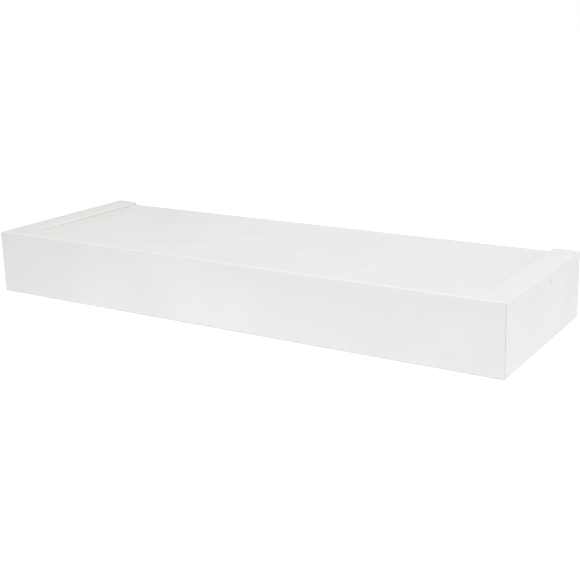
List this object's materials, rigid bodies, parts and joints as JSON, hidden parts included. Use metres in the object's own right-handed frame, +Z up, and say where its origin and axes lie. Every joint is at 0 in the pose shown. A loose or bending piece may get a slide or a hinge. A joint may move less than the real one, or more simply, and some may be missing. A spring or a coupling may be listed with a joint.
{
  "type": "floating wall shelf",
  "caption": "White mitred box shelf with a shallow tray top, carried on hidden steel rods from a wall plate, locked from below by set screws.",
  "frame": {"origin": "on the wall plane, at the centre of the wall plate and of its four wall screws", "axes": "+X along the wall to the right as seen from the room, +Y into the wall, +Z up; the shelf's front faces -Y"},
  "size_m": [0.6096, 0.2402, 0.0698],
  "materials": {
    "painted_mdf": "satin white paint, sprayed",
    "pine": "planed, bare",
    "beech": "turned, bare",
    "putty": "sanded flush and painted",
    "bright_steel": "drawn wire",
    "powder_coated_steel": "fine black powder coat",
    "zinc_plated_steel": "bright zinc",
    "black_oxide_steel": "black oxide, oiled",
    "brass": "turned"
  },
  "bodies": {
    "bracket": {"wall_plate": "powder_coated_steel", "support_rod_left": "powder_coated_steel", "support_rod_centre": "powder_coated_steel", "support_rod_right": "powder_coated_steel", "rod_welds": "powder_coated_steel", "wall_screws": "zinc_plated_steel"},
    "shelf": {"front_rail": "painted_mdf", "left_end_rail": "painted_mdf", "right_end_rail": "painted_mdf", "top_panel": "painted_mdf", "bottom_panel": "painted_mdf", "rear_batten": "pine", "inner_batten": "pine", "corner_block_left": "pine", "corner_block_right": "pine", "mitre_dowels": "beech", "brads": "bright_steel", "nail_fillers": "putty", "lock_insert_left": "brass", "lock_insert_right": "brass"},
    "lock_screw_left": {"lock_screw_left": "black_oxide_steel"},
    "lock_screw_right": {"lock_screw_right": "black_oxide_steel"}
  },
  "joints": [
    {"name": "shelf_slide", "type": "slide", "parent": "bracket", "child": "shelf", "axis": [0, -1, 0], "range_m": [0, 0.135]},
    {"name": "lock_screw_left_travel", "type": "slide", "parent": "shelf", "child": "lock_screw_left", "axis": [0, 0, 1], "range_m": [-0.003, 0]},
    {"name": "lock_screw_right_travel", "type": "slide", "parent": "shelf", "child": "lock_screw_right", "axis": [0, 0, 1], "range_m": [-0.003, 0]}
  ]
}
